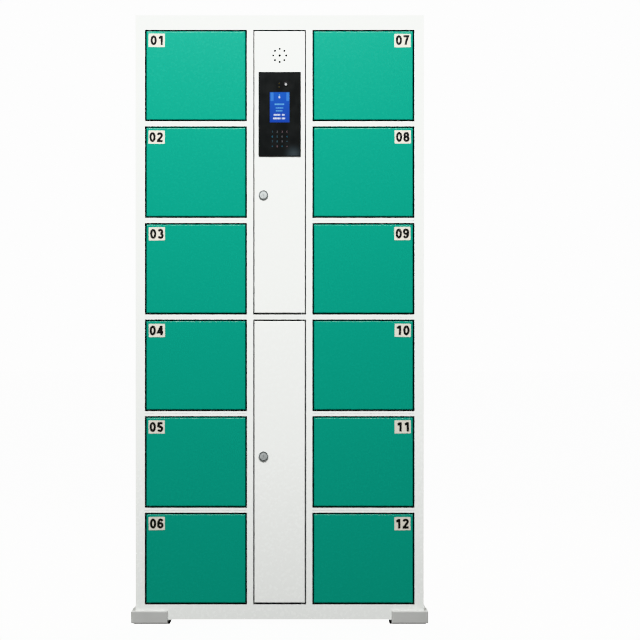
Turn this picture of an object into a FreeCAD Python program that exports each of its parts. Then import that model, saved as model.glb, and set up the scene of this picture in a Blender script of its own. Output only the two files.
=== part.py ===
import FreeCAD, Part
import math
import os
import re

import Sketcher

# Electronic parcel locker: twelve compartments in two columns, with a service column between them.
# Millimetres. +Z up, the doors face -Y, and the origin is on the floor under the middle of the cabinet.

ROWS = 6
COLUMN_DOORS = ("01", "02", "03", "04", "05", "06")
MIRRORED_DOORS = ("07", "08", "09", "10", "11", "12")

SIZES = (
    ("body_width", 880, "over the side panels"),
    ("body_depth", 460, "front face to rear lips"),
    ("body_height", 1842, "lower edge of the side panels to the lid"),
    ("floor_gap", 13, "thickness of foot under the side panels"),
    ("sheet", 1.2, "cabinet sheet steel"),
    ("side_lip", 5, "front return of a side panel"),
    ("outer_stile", 29.5, "face beside a column, side lip included"),
    ("inner_stile", 19, "face between a column and the service column"),
    ("column_opening", 311, "width of a column's door openings"),
    ("top_rail", 45, "face over the top doors, lid included"),
    ("bottom_rail", 47, "face under the bottom doors"),
    ("mid_rail", 15, "face between two doors"),
    ("rail_seam", 0.5, "slit between the two folds of a middle rail"),
    ("jamb_depth", 25, "how far stiles and rails fold back"),
    ("fold_radius", 2.5, "outside radius of a bend"),
    ("door_gap", 5, "slit round a parcel door, and over and under a service door"),
    ("service_gap", 3.5, "slit beside a service door"),
    ("door_depth", 18, "thickness of a door"),
    ("door_sheet", 1, "door sheet steel"),
    ("hinge_inset", 10, "door edge to hinge axis"),
    ("hinge_setback", 7, "front face to hinge axis"),
    ("pin_diameter", 5, "hinge pin"),
    ("pin_engage", 7, "length of pin inside its bush"),
    ("pin_clearance", 0.05, "radial, pin in bush and plug in barrel"),
    ("bush_diameter", 10, "nylon hinge bush"),
    ("bush_length", 9, "nylon hinge bush"),
    ("fold_hole_slack", 0.5, "radial, pin through a door's fold"),
    ("case_gap", 0.4, "closed door to lock case, which is its stop"),
    ("case_width", 22, "electric lock case"),
    ("case_height", 50, "electric lock case"),
    ("case_depth", 65, "electric lock case"),
    ("case_rise", 14, "strike centre to top of lock case"),
    ("case_wall", 5, "lock case over and under its slot"),
    ("slot_side", 6, "lock case wall beside its slot, door side"),
    ("slot_width", 10, "slot for strike and latch"),
    ("slot_depth", 45, "slot for strike and latch"),
    ("strike_side", 2.5, "slot wall to strike"),
    ("strike_thick", 3, "strike plate"),
    ("strike_height", 14, "strike plate"),
    ("strike_length", 28, "strike plate, from door's back"),
    ("notch_start", 11, "door's back to the strike's notch"),
    ("notch_width", 11, "notch in the strike's lower edge"),
    ("pivot_back", 36, "door's back to latch pivot"),
    ("pivot_drop", 17, "strike centre to latch pivot"),
    ("pivot_diameter", 4, "latch pivot pin"),
    ("latch_side", 2, "slot wall to latch"),
    ("latch_thick", 4, "latch lever"),
    ("latch_hub", 11, "latch hub diameter"),
    ("latch_swing", 35, "degrees, from released to engaged"),
    ("nose_reach", 20, "pivot to the front of the latch nose"),
    ("nose_width", 4, "latch nose"),
    ("nose_rise", 15, "pivot to the tip of the latch nose"),
    ("panel_width", 129, "black touch panel"),
    ("panel_height", 258, "black touch panel"),
    ("panel_thick", 3, "black touch panel, in front of the door"),
    ("panel_drop", 128.5, "head of opening to top of touch panel"),
    ("panel_corner", 2, "corner radius of touch panel"),
    ("panel_lap", 8, "touch panel over the door round its cut-out"),
    ("screen_width", 60, "display window"),
    ("screen_height", 92, "display window"),
    ("screen_drop", 62, "top of touch panel to display window"),
    ("screen_recess", 0.3, "glass face to display face"),
    ("window_slack", 0.15, "round the display in its window"),
    ("display_depth", 8, "display module behind the glass"),
    ("display_margin", 6, "display module round its window"),
    ("camera_side", 19, "panel centre to camera"),
    ("camera_drop", 38.5, "top of touch panel to camera"),
    ("camera_diameter", 12, "camera barrel"),
    ("lens_diameter", 8, "camera lens"),
    ("camera_depth", 12, "camera module behind the glass"),
    ("camera_block", 18, "side of the camera module"),
    ("keypad_width", 92, "keypad sensor board"),
    ("keypad_height", 74, "keypad sensor board"),
    ("keypad_drop", 166.5, "top of touch panel to sensor board"),
    ("board_thick", 1.6, "circuit boards"),
    ("speaker_drop", 78.5, "head of opening to speaker centre"),
    ("speaker_ring", 20, "radius of the ring of sound holes"),
    ("speaker_hole", 7, "sound hole diameter"),
    ("speaker_middle", 8, "middle sound hole diameter"),
    ("speaker_diameter", 66, "loudspeaker basket"),
    ("speaker_depth", 22, "loudspeaker"),
    ("magnet_diameter", 34, "loudspeaker magnet"),
    ("lock_inset", 31, "edge of opening to cam lock"),
    ("upper_lock_rise", 364, "foot of upper opening to its cam lock"),
    ("lower_lock_rise", 451, "foot of lower opening to its cam lock"),
    ("rosette_diameter", 29, "cam lock rosette"),
    ("rosette_thick", 5, "cam lock rosette in front of door"),
    ("barrel_diameter", 19, "cam lock barrel"),
    ("barrel_length", 26, "cam lock barrel behind the door's face"),
    ("barrel_slack", 0.3, "radial, barrel in its hole"),
    ("plug_diameter", 13, "cam lock plug, with its clearance"),
    ("plug_proud", 0.8, "plug in front of the rosette's dish"),
    ("dish_diameter", 22, "dish in the rosette"),
    ("dish_depth", 1.2, "dish in the rosette"),
    ("keyway_width", 2, "key slot"),
    ("keyway_height", 8, "key slot"),
    ("keyway_depth", 6, "key slot"),
    ("cam_length", 45, "lock axis to tip of cam"),
    ("cam_width", 16, "cam"),
    ("cam_thick", 2.5, "cam"),
    ("stiffener_width", 40, "channel inside a service door"),
    ("stiffener_depth", 12, "channel inside a service door"),
    ("foot_width", 113, "corner foot along the front"),
    ("foot_length", 110, "corner foot along the side"),
    ("foot_height", 41, "corner foot, front wall"),
    ("foot_side_wall", 14, "corner foot outside the side panel"),
    ("foot_front_wall", 10, "corner foot in front of the face"),
    ("foot_wing", 10, "wing on the foot's side, above its front wall"),
    ("wing_wall", 7, "thickness of the wing"),
    ("wing_round", 6, "radius along the wing's top"),
    ("foot_corner", 9, "radius of the foot's upright corner"),
    ("foot_bevel", 4, "rounding round the foot's outward faces"),
    ("foot_pad", 2, "rubber pad under the foot"),
    ("pad_overhang", 7, "rubber pad beyond the foot, inwards"),
    ("anchor_diameter", 9, "wall fixing hole"),
    ("anchor_span", 700, "wall fixing holes, across"),
    ("anchor_rise", 1240, "wall fixing holes, up"),
    ("anchor_start", 380, "lower edge of back to lower wall fixing holes"),
    ("gland_diameter", 20, "cable gland thread"),
    ("gland_flange", 28, "cable gland flange"),
    ("gland_rise", 110, "lower edge of back to cable gland"),
    ("controller_width", 150, "controller board"),
    ("controller_height", 210, "controller board"),
    ("controller_rise", 330, "foot of upper opening to controller board"),
    ("standoff_height", 12, "back panel to controller board"),
    ("standoff_diameter", 7, "board standoff"),
    ("relay_width", 15, "lock relay"),
    ("relay_height", 19, "lock relay"),
    ("relay_depth", 15, "lock relay"),
    ("supply_width", 98, "power supply"),
    ("supply_height", 199, "power supply"),
    ("supply_depth", 38, "power supply"),
    ("supply_rise", 90, "foot of upper opening to power supply"),
)

# Sizes that follow from the driving ones.
DERIVED = {
    "half_width": "body_width / 2",
    "half_depth": "body_depth / 2",
    "shell_height": "body_height - sheet",
    "shell_inside": "body_width - 2 * sheet",
    "front_to_back": "body_depth - sheet",
    "outer_edge": "half_width - outer_stile",
    "inner_edge": "outer_edge - column_opening",
    "centre_edge": "inner_edge - inner_stile",
    "opening_height": "(body_height - top_rail - bottom_rail - 5 * mid_rail) / 6",
    "row_pitch": "opening_height + mid_rail",
    "first_floor": "floor_gap + bottom_rail",
    "rail_fold": "(mid_rail - rail_seam) / 2",
    "centre_height": "3 * opening_height + 2 * mid_rail",
    "upper_floor": "first_floor + 3 * row_pitch",
    "upper_head": "upper_floor + centre_height",
    "door_back": "door_depth - half_depth",
    "door_width": "column_opening - 2 * door_gap",
    "door_height": "opening_height - 2 * door_gap",
    "service_width": "2 * (centre_edge - service_gap)",
    "service_height": "centre_height - 2 * door_gap",
    "hinge_line": "outer_edge - door_gap - hinge_inset",
    "service_hinge_line": "centre_edge - service_gap - hinge_inset",
    "hinge_from_back": "door_depth - hinge_setback",
    "pin_length": "door_gap + pin_engage",
    "fold_hole": "pin_diameter / 2 + fold_hole_slack",
    "bush_bore": "pin_diameter / 2 + pin_clearance",
    "slot_start": "inner_edge + case_width - slot_side",
    "panel_top": "upper_head - panel_drop",
    "panel_foot": "panel_top - panel_height",
    "back_face": "half_depth - sheet",
    "lock_across": "centre_edge - lock_inset",
    "controller_face": "back_face - standoff_height",
}

NAMES = [name for name, number, note in SIZES]


def formula(text):
    """Write size names and derived names as an expression on the cells of the sheet."""
    def swap(match):
        word = match.group()
        if word in DERIVED:
            return "(" + formula(DERIVED[word]) + ")"
        return "Sizes." + word if word in NAMES else word
    return re.sub(r"[a-z][a-z_]+", swap, str(text))


def write_sheet(doc):
    sheet = doc.addObject("Spreadsheet::Sheet", "Sizes")
    for row, (name, number, note) in enumerate(SIZES, start=1):
        sheet.set(f"A{row}", name)
        sheet.set(f"B{row}", str(number))
        sheet.set(f"C{row}", note)
        sheet.setAlias(f"B{row}", name)
    doc.recompute()


doc = FreeCAD.newDocument("ParcelLocker")
write_sheet(doc)
nodes = []


# ---- building blocks -------------------------------------------------------------------------

def place(item, corner):
    """Hold an object's position by expressions."""
    for axis, text in zip("xyz", corner):
        item.setExpression(f"Placement.Base.{axis}", formula(text))


def plate(label, corner, size):
    """A box from its lowest corner and its three sizes."""
    box = doc.addObject("Part::Box", label)
    for name, text in zip(("Length", "Width", "Height"), size):
        box.setExpression(name, formula(text))
    place(box, corner)
    return box


def rod(label, foot, radius, length):
    """An upright cylinder."""
    cylinder = doc.addObject("Part::Cylinder", label)
    cylinder.setExpression("Radius", formula(radius))
    cylinder.setExpression("Height", formula(length))
    place(cylinder, foot)
    return cylinder


def new_body(label, corner):
    body = doc.addObject("PartDesign::Body", label)
    place(body, corner)
    return body


def new_sketch(body, plane, offset=None):
    """A sketch on one of the body's own origin planes, moved within that plane and off it."""
    sketch = body.newObject("Sketcher::SketchObject", "Sketch")
    support = next(face for face in body.Origin.OriginFeatures if face.Role == plane)
    sketch.AttachmentSupport = [(support, "")]
    sketch.MapMode = "FlatFace"
    for axis, text in zip("xyz", offset or ()):
        sketch.setExpression(f"AttachmentOffset.Base.{axis}", formula(text))
    return sketch


def hold_point(sketch, geometry, end, point, start):
    """Fix one point of the sketch at a distance from each axis, each distance an expression."""
    for kind, axis_line, text, value in (("DistanceX", -2, point[0], start[0]), ("DistanceY", -1, point[1], start[1])):
        if str(text) == "0":
            sketch.addConstraint(Sketcher.Constraint("PointOnObject", geometry, end, axis_line))
            continue
        index = sketch.addConstraint(Sketcher.Constraint(kind, -1, 1, geometry, end, value))
        sketch.setExpression(f"Constraints[{index}]", formula(text))


def polygon(sketch, points):
    """A closed outline through the points."""
    turns = [2 * math.pi * (index + 0.3) / len(points) for index in range(len(points))]
    ring = [FreeCAD.Vector(50 * math.cos(turn), 50 * math.sin(turn), 0) for turn in turns]
    first = sketch.GeometryCount
    for index, corner in enumerate(ring):
        sketch.addGeometry(Part.LineSegment(corner, ring[(index + 1) % len(ring)]), False)
    for index in range(len(ring)):
        after = first + (index + 1) % len(ring)
        sketch.addConstraint(Sketcher.Constraint("Coincident", first + index, 2, after, 1))
    for index, point in enumerate(points):
        hold_point(sketch, first + index, 1, point, ring[index])


def rectangle(sketch, low, high):
    polygon(sketch, (low, (high[0], low[1]), high, (low[0], high[1])))


def circle(sketch, centre, radius):
    start = FreeCAD.Vector(5, 5, 0)
    index = sketch.addGeometry(Part.Circle(start, FreeCAD.Vector(0, 0, 1), 3), False)
    hold_point(sketch, index, 3, centre, start)
    size = sketch.addConstraint(Sketcher.Constraint("Radius", index, 3))
    sketch.setExpression(f"Constraints[{size}]", formula(radius))


def pad(body, sketch, length, flip=False):
    feature = body.newObject("PartDesign::Pad", "Pad")
    feature.Profile = sketch
    feature.Reversed = flip
    feature.setExpression("Length", formula(length))
    return feature


def pocket(body, sketch, length=None, flip=False):
    """A cut of the given depth, or right through when no depth is given."""
    feature = body.newObject("PartDesign::Pocket", "Pocket")
    feature.Profile = sketch
    feature.Reversed = flip
    if length is None:
        feature.Type = "ThroughAll"
    else:
        feature.setExpression("Length", formula(length))
    return feature


def soften(body, kind, amount, wanted):
    """Round ("Fillet") or bevel ("Chamfer") the edges of the body's last feature that are wanted."""
    doc.recompute()
    base = body.Tip
    names = [f"Edge{n}" for n, edge in enumerate(base.Shape.Edges, start=1) if wanted(edge, base.Shape.BoundBox)]
    feature = body.newObject(f"PartDesign::{kind}", kind)
    feature.Base = (base, names)
    feature.setExpression("Radius" if kind == "Fillet" else "Size", formula(amount))
    return feature


def ends(edge):
    return [vertex.Point for vertex in edge.Vertexes]


def level(edge, axis, value):
    """True for an edge that lies wholly at this value of an axis."""
    return all(abs(getattr(point, axis) - value) < 1e-4 for point in ends(edge))


def along(edge, axis):
    """True for a straight edge that runs along an axis."""
    points = ends(edge)
    if len(points) < 2:
        return False
    step = points[1] - points[0]
    return abs(abs(getattr(step, axis)) - step.Length) < 1e-6


def group(label, members):
    """Several solids under one name."""
    compound = doc.addObject("Part::Compound", label)
    compound.Links = members
    return compound


def mirrored(label, source, normal=(1, 0, 0)):
    """The same piece on the other side of the cabinet."""
    other = doc.addObject("Part::Mirroring", label)
    other.Source = source
    other.Normal = FreeCAD.Vector(*normal)
    return other


def keep(item, label):
    """Name a finished sub-part: its label is its file's name."""
    item.Label = label
    nodes.append(item)
    return item


def floor_of(row):
    """Foot of a door opening, rows counted from the bottom."""
    return f"(first_floor + {row} * row_pitch)"


# ---- cabinet shell ---------------------------------------------------------------------------

def side_panel():
    """Folded sheet: a wall with a narrow return at the front."""
    body = new_body("side_panel_left", ("-half_width", "-half_depth", "floor_gap"))
    outline = new_sketch(body, "XY_Plane")
    polygon(outline, (
        (0, 0), ("side_lip", 0), ("side_lip", "sheet"), ("sheet", "sheet"),
        ("sheet", "front_to_back"), (0, "front_to_back")))
    pad(body, outline, "shell_height")
    soften(body, "Fillet", "fold_radius", lambda edge, box: (
        along(edge, "z") and level(edge, "x", box.XMin) and level(edge, "y", box.YMin)))
    return body


def back_panel():
    """Flat sheet with four wall fixing holes and the cable gland's hole."""
    body = new_body("back_panel", ("-half_width", "half_depth", "floor_gap"))
    outline = new_sketch(body, "XZ_Plane")
    rectangle(outline, (0, 0), ("body_width", "shell_height"))
    pad(body, outline, "sheet")
    holes = new_sketch(body, "XZ_Plane", ("half_width", "anchor_start"))
    for side in (-1, 1):
        circle(holes, (f"{side} * anchor_span / 2", 0), "anchor_diameter / 2")
        circle(holes, (f"{side} * anchor_span / 2", "anchor_rise"), "anchor_diameter / 2")
    pocket(body, holes, flip=True)
    entry = new_sketch(body, "XZ_Plane", ("half_width", "gland_rise"))
    circle(entry, (0, 0), "gland_diameter / 2")
    pocket(body, entry, flip=True)
    return body


def lid():
    body = new_body("top_panel", ("-half_width", "-half_depth", "floor_gap + shell_height"))
    outline = new_sketch(body, "XY_Plane")
    rectangle(outline, (0, 0), ("body_width", "body_depth"))
    pad(body, outline, "sheet")
    soften(body, "Fillet", "fold_radius", lambda edge, box: along(edge, "z"))
    return body


def outer_stile():
    """Face beside the column and its fold back along the opening."""
    width = "(outer_stile - side_lip)"
    body = new_body("stile_outer_left", ("-half_width + side_lip", "-half_depth", "floor_gap"))
    outline = new_sketch(body, "XY_Plane")
    polygon(outline, (
        (0, 0), (width, 0), (width, "jamb_depth"), (f"{width} - sheet", "jamb_depth"),
        (f"{width} - sheet", "sheet"), (0, "sheet")))
    pad(body, outline, "shell_height")
    return body


def inner_stile():
    """Channel between a column and the service column."""
    body = new_body("stile_inner_left", ("-inner_edge", "-half_depth", "first_floor"))
    outline = new_sketch(body, "XY_Plane")
    polygon(outline, (
        (0, 0), ("inner_stile", 0), ("inner_stile", "jamb_depth"), ("inner_stile - sheet", "jamb_depth"),
        ("inner_stile - sheet", "sheet"), ("sheet", "sheet"), ("sheet", "jamb_depth"), (0, "jamb_depth")))
    pad(body, outline, "body_height - top_rail - bottom_rail")
    return body


def rail(label, foot, height):
    """Channel across the whole front, open to the back."""
    body = new_body(label, ("-outer_edge", "-half_depth", foot))
    outline = new_sketch(body, "YZ_Plane")
    polygon(outline, (
        (0, 0), ("jamb_depth", 0), ("jamb_depth", "sheet"), ("sheet", "sheet"),
        ("sheet", f"{height} - sheet"), ("jamb_depth", f"{height} - sheet"),
        ("jamb_depth", height), (0, height)))
    pad(body, outline, "2 * outer_edge")
    return body


def shelf(label, left, width, head, flanks):
    """One shelf: a sheet folded down at the front, and the folded strip that closes the rail below it."""
    sheet = new_body(label + "_sheet", (left, "-half_depth", head))
    fold = new_sketch(sheet, "YZ_Plane")
    polygon(fold, (
        (0, 0), (0, "-rail_fold"), ("sheet", "-rail_fold"), ("sheet", "-sheet"),
        ("front_to_back", "-sheet"), ("front_to_back", 0)))
    pad(sheet, fold, width)
    for low, high in flanks:
        wing = new_sketch(sheet, "XY_Plane")
        rectangle(wing, (low, "jamb_depth"), (high, "front_to_back"))
        pad(sheet, wing, "sheet", flip=True)
    strip = new_body(label + "_strip", (left, "-half_depth", f"{head} - mid_rail"))
    angle = new_sketch(strip, "YZ_Plane")
    polygon(angle, (
        (0, 0), ("jamb_depth", 0), ("jamb_depth", "sheet"), ("sheet", "sheet"),
        ("sheet", "rail_fold"), (0, "rail_fold")))
    pad(strip, angle, width)
    return [sheet, strip]


def shelves():
    pieces = []
    for row in range(1, ROWS):
        pieces += shelf(
            f"shelf_{row}", "-outer_edge", "column_opening", floor_of(row), [("-outer_stile + sheet", 0)])
    return group("shelves_left", pieces)


def centre_shelf():
    flanks = [("-inner_stile + sheet", 0), ("2 * centre_edge", "2 * centre_edge + inner_stile - sheet")]
    return group("centre_shelf", shelf(
        "centre_shelf", "-centre_edge", "2 * centre_edge", "upper_floor", flanks))


def foot():
    """Moulded corner foot: a rounded boot under and round the cabinet's corner, on a rubber pad."""
    corner = ("-half_width - foot_side_wall", "-half_depth - foot_front_wall")
    body = new_body("foot_boot", (*corner, "foot_pad"))
    block = new_sketch(body, "XY_Plane")
    rectangle(block, (0, 0), ("foot_width", "foot_length"))
    pad(body, block, "foot_height - foot_pad")
    soften(body, "Fillet", "foot_corner", lambda edge, box: (
        along(edge, "z") and level(edge, "x", box.XMin) and level(edge, "y", box.YMin)))
    soften(body, "Fillet", "foot_bevel", on_outer_rim)
    wing = new_sketch(body, "XY_Plane")
    rectangle(wing, ("foot_side_wall - wing_wall", "foot_front_wall"), ("foot_side_wall", "foot_length"))
    pad(body, wing, "foot_height - foot_pad + foot_wing")
    seat = new_sketch(body, "XY_Plane", (0, 0, "floor_gap - foot_pad"))
    rectangle(seat, ("foot_side_wall", "foot_front_wall"), ("foot_width + 1", "foot_length + 1"))
    pocket(body, seat, flip=True)
    soften(body, "Fillet", "wing_round", lambda edge, box: (
        along(edge, "y") and level(edge, "z", box.ZMax) and ends(edge)[0].x < box.XMin + 8))
    rubber = plate("foot_rubber", (corner[0] + " + foot_corner", corner[1] + " + foot_corner", 0), (
        "foot_width - foot_corner + pad_overhang", "foot_length - foot_corner", "foot_pad"))
    return group("foot_front_left", [body, rubber])


def on_outer_rim(edge, box):
    """The edges round the outward faces of a foot's block: over, under and at its inner end."""
    if along(edge, "z"):
        return level(edge, "x", box.XMax) and level(edge, "y", box.YMin)
    return not level(edge, "x", box.XMax) and not level(edge, "y", box.YMax)


def hinge_pins():
    """A pin at the foot and at the head of every door opening."""
    pins = []
    for side in (-1, 1):
        for row in range(ROWS):
            across = f"{side} * hinge_line"
            pins += pin_pair(f"pin_{side}_{row}", across, floor_of(row), "opening_height")
    for name, foot_level in (("lower", "first_floor"), ("upper", "upper_floor")):
        pins += pin_pair(f"pin_service_{name}", "service_hinge_line", foot_level, "centre_height")
    return group("hinge_pins", pins)


def pin_pair(label, across, foot_level, height):
    depth = "hinge_setback - half_depth"
    radius = "pin_diameter / 2"
    low = rod(label + "_low", (across, depth, foot_level), radius, "pin_length")
    high = rod(label + "_high", (across, depth, f"{foot_level} + {height} - pin_length"), radius, "pin_length")
    return [low, high]


# ---- compartment doors and their electric locks ----------------------------------------------

def bush(label, across, level_text):
    """Nylon bush, its bore a running fit on the hinge pin."""
    body = new_body(label, (across, "hinge_setback - half_depth", level_text))
    ring = new_sketch(body, "XY_Plane")
    circle(ring, (0, 0), "bush_diameter / 2")
    circle(ring, (0, 0), "bush_bore")
    pad(body, ring, "bush_length")
    return body


def door_pan(label, left, foot_level, width, height, hinge_across):
    """Folded pan: a front sheet with returns all round, bored top and bottom for its hinge pins."""
    body = new_body(label, (left, "door_back", foot_level))
    outline = new_sketch(body, "XZ_Plane")
    rectangle(outline, (0, 0), (width, height))
    pad(body, outline, "door_depth")
    hollow = new_sketch(body, "XZ_Plane")
    rectangle(hollow, ("door_sheet", "door_sheet"), (f"{width} - door_sheet", f"{height} - door_sheet"))
    pocket(body, hollow, "door_depth - door_sheet", flip=True)
    hinge = new_sketch(body, "XY_Plane")
    circle(hinge, (hinge_across, "-hinge_from_back"), "fold_hole")
    pocket(body, hinge, flip=True)
    soften(body, "Fillet", "fold_radius", lambda edge, box: (
        level(edge, "y", box.YMin) and (along(edge, "x") or along(edge, "z"))))
    return body


def strike(label, row):
    """Plate on the back of a door, with a notch in its lower edge for the latch nose."""
    centre = f"{floor_of(row)} + opening_height / 2"
    body = new_body(label, ("-slot_start + strike_side", "door_back", centre))
    outline = new_sketch(body, "YZ_Plane")
    low = "-strike_height / 2"
    polygon(outline, (
        (0, low), ("notch_start", low), ("notch_start", 0), ("notch_start + notch_width", 0),
        ("notch_start + notch_width", low), ("strike_length", low),
        ("strike_length", "strike_height / 2"), (0, "strike_height / 2")))
    pad(body, outline, "strike_thick")
    return body


def compartment_door(number, row):
    label = f"door_{number}"
    left = "door_gap - outer_edge"
    foot_level = f"{floor_of(row)} + door_gap"
    pan = door_pan(label + "_pan", left, foot_level, "door_width", "door_height", "hinge_inset")
    lining = plate(label + "_lining", (f"{left} + door_sheet", "door_back - door_sheet", f"{foot_level} + door_sheet"), (
        "door_width - 2 * door_sheet", "door_sheet", "door_height - 2 * door_sheet"))
    low = bush(label + "_bush_low", "-hinge_line", f"{foot_level} + door_sheet")
    high = bush(label + "_bush_high", "-hinge_line", f"{foot_level} + door_height - door_sheet - bush_length")
    return group(label, [pan, lining, low, high, strike(label + "_strike", row)])


def lock_case(row):
    """Block on the partition, slotted for strike and latch, with the latch's pivot pin across the slot."""
    centre = f"{floor_of(row)} + opening_height / 2"
    corner = ("-inner_edge - case_width", "door_back + case_gap", f"{centre} + case_rise - case_height")
    body = new_body(f"lock_case_{row}", corner)
    block = new_sketch(body, "XY_Plane")
    rectangle(block, (0, 0), ("case_width", "case_depth"))
    pad(body, block, "case_height")
    slot = new_sketch(body, "XZ_Plane")
    rectangle(slot, ("slot_side", "case_wall"), ("slot_side + slot_width", "case_height - case_wall"))
    pocket(body, slot, "slot_depth")
    pivot = new_sketch(body, "YZ_Plane", ("pivot_back - case_gap", "case_height - case_rise - pivot_drop"))
    circle(pivot, (0, 0), "pivot_diameter / 2")
    pad(body, pivot, "slot_side + slot_width + 1")
    return body


def latch(number, row):
    """Lever on the pivot pin. It is drawn engaged, then turned down to its released place."""
    centre = f"{floor_of(row)} + opening_height / 2"
    corner = ("-slot_start + latch_side", "door_back + pivot_back", f"{centre} - pivot_drop")
    body = new_body(f"latch_{number}_lever", corner)
    body.Placement.Rotation = FreeCAD.Rotation(FreeCAD.Vector(1, 0, 0), 30)
    body.setExpression("Placement.Rotation.Angle", formula("latch_swing"))
    arm = new_sketch(body, "YZ_Plane")
    inner = "nose_width - nose_reach"
    polygon(arm, (
        (0, "-latch_hub / 2"), ("-nose_reach", 0), ("-nose_reach", "nose_rise"), (inner, "nose_rise"),
        (inner, "latch_hub / 2"), (0, "latch_hub / 2")))
    pad(body, arm, "latch_thick")
    hub = new_sketch(body, "YZ_Plane")
    circle(hub, (0, 0), "latch_hub / 2")
    pad(body, hub, "latch_thick")
    bore = new_sketch(body, "YZ_Plane")
    circle(bore, (0, 0), "pivot_diameter / 2 + pin_clearance")
    pocket(body, bore, flip=True)
    return body


# ---- service doors ---------------------------------------------------------------------------

def service_door(which, foot_level, lock_rise):
    """Tall door hinged on its right, stiffened by two channels and bored for its cam lock."""
    label = f"service_door_{which}"
    door_foot = f"{foot_level} + door_gap"
    pan = door_pan(label + "_pan", "service_gap - centre_edge", door_foot, "service_width", "service_height",
                   "service_width - hinge_inset")
    lock = new_sketch(pan, "XZ_Plane", ("lock_inset - service_gap", f"{lock_rise} - door_gap"))
    circle(lock, (0, 0), "barrel_diameter / 2 + barrel_slack")
    pocket(pan, lock, flip=True)
    low = bush(label + "_bush_low", "service_hinge_line", f"{door_foot} + door_sheet")
    high = bush(label + "_bush_high", "service_hinge_line",
                f"{door_foot} + service_height - door_sheet - bush_length")
    channels = []
    for name, rise in (("low", "service_height / 12"), ("middle", f"{lock_rise} - 3 * stiffener_width")):
        channels.append(stiffener(f"{label}_{name}", f"{door_foot} + {rise}"))
    return pan, [pan, low, high, *channels]


def stiffener(label, level_text):
    """Channel across the inside of a service door, its web against the front sheet's inner face."""
    body = new_body(label, ("service_gap + door_sheet - centre_edge", "door_sheet - half_depth", level_text))
    outline = new_sketch(body, "YZ_Plane")
    polygon(outline, (
        (0, 0), ("stiffener_depth", 0), ("stiffener_depth", "stiffener_width"), (0, "stiffener_width"),
        (0, "stiffener_width - sheet"), ("stiffener_depth - sheet", "stiffener_width - sheet"),
        ("stiffener_depth - sheet", "sheet"), (0, "sheet")))
    pad(body, outline, "service_width - 2 * door_sheet")
    return body


def open_electronics_front(pan):
    """Cut-out behind the touch panel, and the sound holes, in the upper service door."""
    middle = "service_width / 2"
    door_foot = "(upper_floor + door_gap)"
    cut = new_sketch(pan, "XZ_Plane", (middle, f"panel_foot - {door_foot}"))
    across = "(panel_width / 2 - panel_lap)"
    rectangle(cut, (f"-{across}", "panel_lap"), (across, "panel_height - panel_lap"))
    pocket(pan, cut, flip=True)
    centre = (middle, f"upper_head - speaker_drop - {door_foot}")
    hole = new_sketch(pan, "XZ_Plane", centre)
    circle(hole, (0, 0), "speaker_middle / 2")
    pocket(pan, hole, flip=True)
    ring = new_sketch(pan, "XZ_Plane", centre)
    circle(ring, ("speaker_ring", 0), "speaker_hole / 2")
    first = pocket(pan, ring, flip=True)
    doc.recompute()
    circled = pan.newObject("PartDesign::PolarPattern", "Sound_holes")
    circled.Originals = [first]
    circled.Axis = (ring, ["N_Axis"])
    circled.Angle = 360
    circled.Occurrences = 8
    pan.Tip = circled


def touch_panel():
    """Black panel on the door's face, with a window for the display and a hole for the camera."""
    body = new_body("touch_panel", (0, "-half_depth", "panel_foot"))
    outline = new_sketch(body, "XZ_Plane")
    rectangle(outline, ("-panel_width / 2", 0), ("panel_width / 2", "panel_height"))
    pad(body, outline, "panel_thick")
    window = new_sketch(body, "XZ_Plane")
    foot_level = "panel_height - screen_drop - screen_height"
    rectangle(window, ("-screen_width / 2", foot_level), ("screen_width / 2", f"{foot_level} + screen_height"))
    pocket(body, window, flip=True)
    hole = new_sketch(body, "XZ_Plane")
    circle(hole, ("camera_side", "panel_height - camera_drop"), "camera_diameter / 2")
    pocket(body, hole, flip=True)
    soften(body, "Fillet", "panel_corner", lambda edge, box: (
        along(edge, "y") and abs(ends(edge)[0].x) > box.XMax - 1e-4))
    return body


def display():
    """Module against the back of the touch panel, its face standing in the window."""
    body = new_body("display", (0, "-half_depth", "panel_top - screen_drop - screen_height"))
    face = new_sketch(body, "XZ_Plane")
    side = "(screen_width / 2 - window_slack)"
    rectangle(face, (f"-{side}", "window_slack"), (side, "screen_height - window_slack"))
    pad(body, face, "panel_thick - screen_recess")
    module = new_sketch(body, "XZ_Plane")
    wide = "(screen_width / 2 + display_margin)"
    rectangle(module, (f"-{wide}", "-display_margin"), (wide, "screen_height + display_margin"))
    pad(body, module, "display_depth", flip=True)
    return body


def camera():
    """Barrel in the touch panel's hole, its lens flush with the glass, and the module behind."""
    body = new_body("camera", ("camera_side", "-half_depth", "panel_top - camera_drop"))
    barrel = new_sketch(body, "XZ_Plane")
    circle(barrel, (0, 0), "camera_diameter / 2 - window_slack")
    pad(body, barrel, "panel_thick - screen_recess")
    lens = new_sketch(body, "XZ_Plane")
    circle(lens, (0, 0), "lens_diameter / 2")
    pad(body, lens, "panel_thick")
    module = new_sketch(body, "XZ_Plane")
    half = "camera_block / 2"
    rectangle(module, (f"-{half}", f"-{half}"), (half, half))
    pad(body, module, "camera_depth", flip=True)
    return body


def turned(label, corner, profile):
    """A piece turned about the axis that runs from front to back: points are (radius, depth)."""
    body = new_body(label, corner)
    outline = new_sketch(body, "XY_Plane")
    polygon(outline, profile)
    feature = body.newObject("PartDesign::Revolution", "Revolution")
    feature.Profile = outline
    feature.ReferenceAxis = (outline, ["V_Axis"])
    feature.Angle = 360
    return body


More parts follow.
